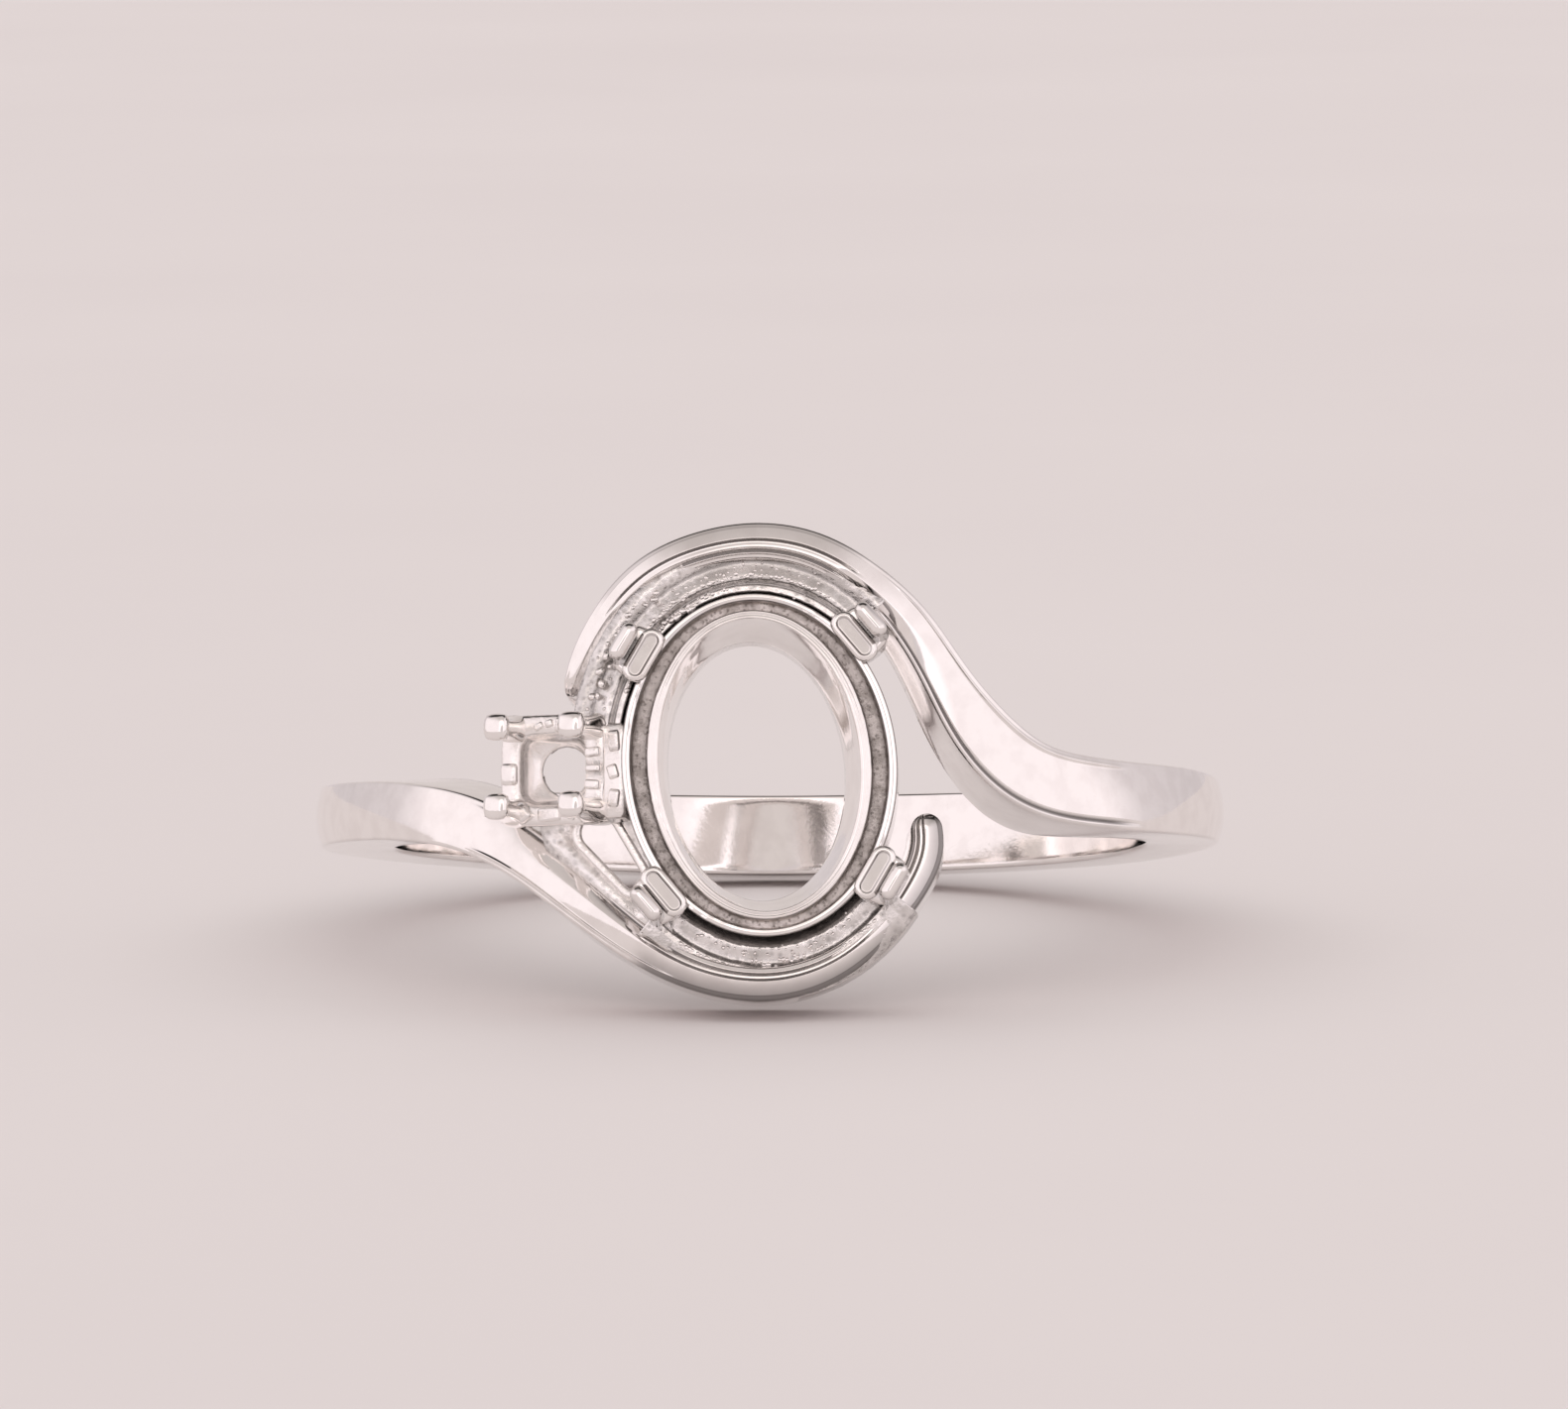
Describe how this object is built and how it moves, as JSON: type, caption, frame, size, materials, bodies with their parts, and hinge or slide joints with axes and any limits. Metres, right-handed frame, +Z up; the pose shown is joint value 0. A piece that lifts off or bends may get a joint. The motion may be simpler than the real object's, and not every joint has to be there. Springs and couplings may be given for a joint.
{
  "type": "bypass semi-mount ring setting",
  "caption": "Polished silver bypass ring that lies on its side, with an empty oval prong head, a small empty accent head beside it and swept arms round both.",
  "frame": {"origin": "centre of the bounding box at its underside, on the surface that the ring lies on", "axes": "+Z up from the surface; -Y out of the finger towards the oval head; +X to the right of someone facing the head"},
  "size_m": [0.021, 0.0224, 0.0108],
  "materials": {
    "silver": "polished sterling silver, matte where the castings were soldered"
  },
  "bodies": {
    "root": {"ring_mount": "silver"}
  },
  "joints": []
}
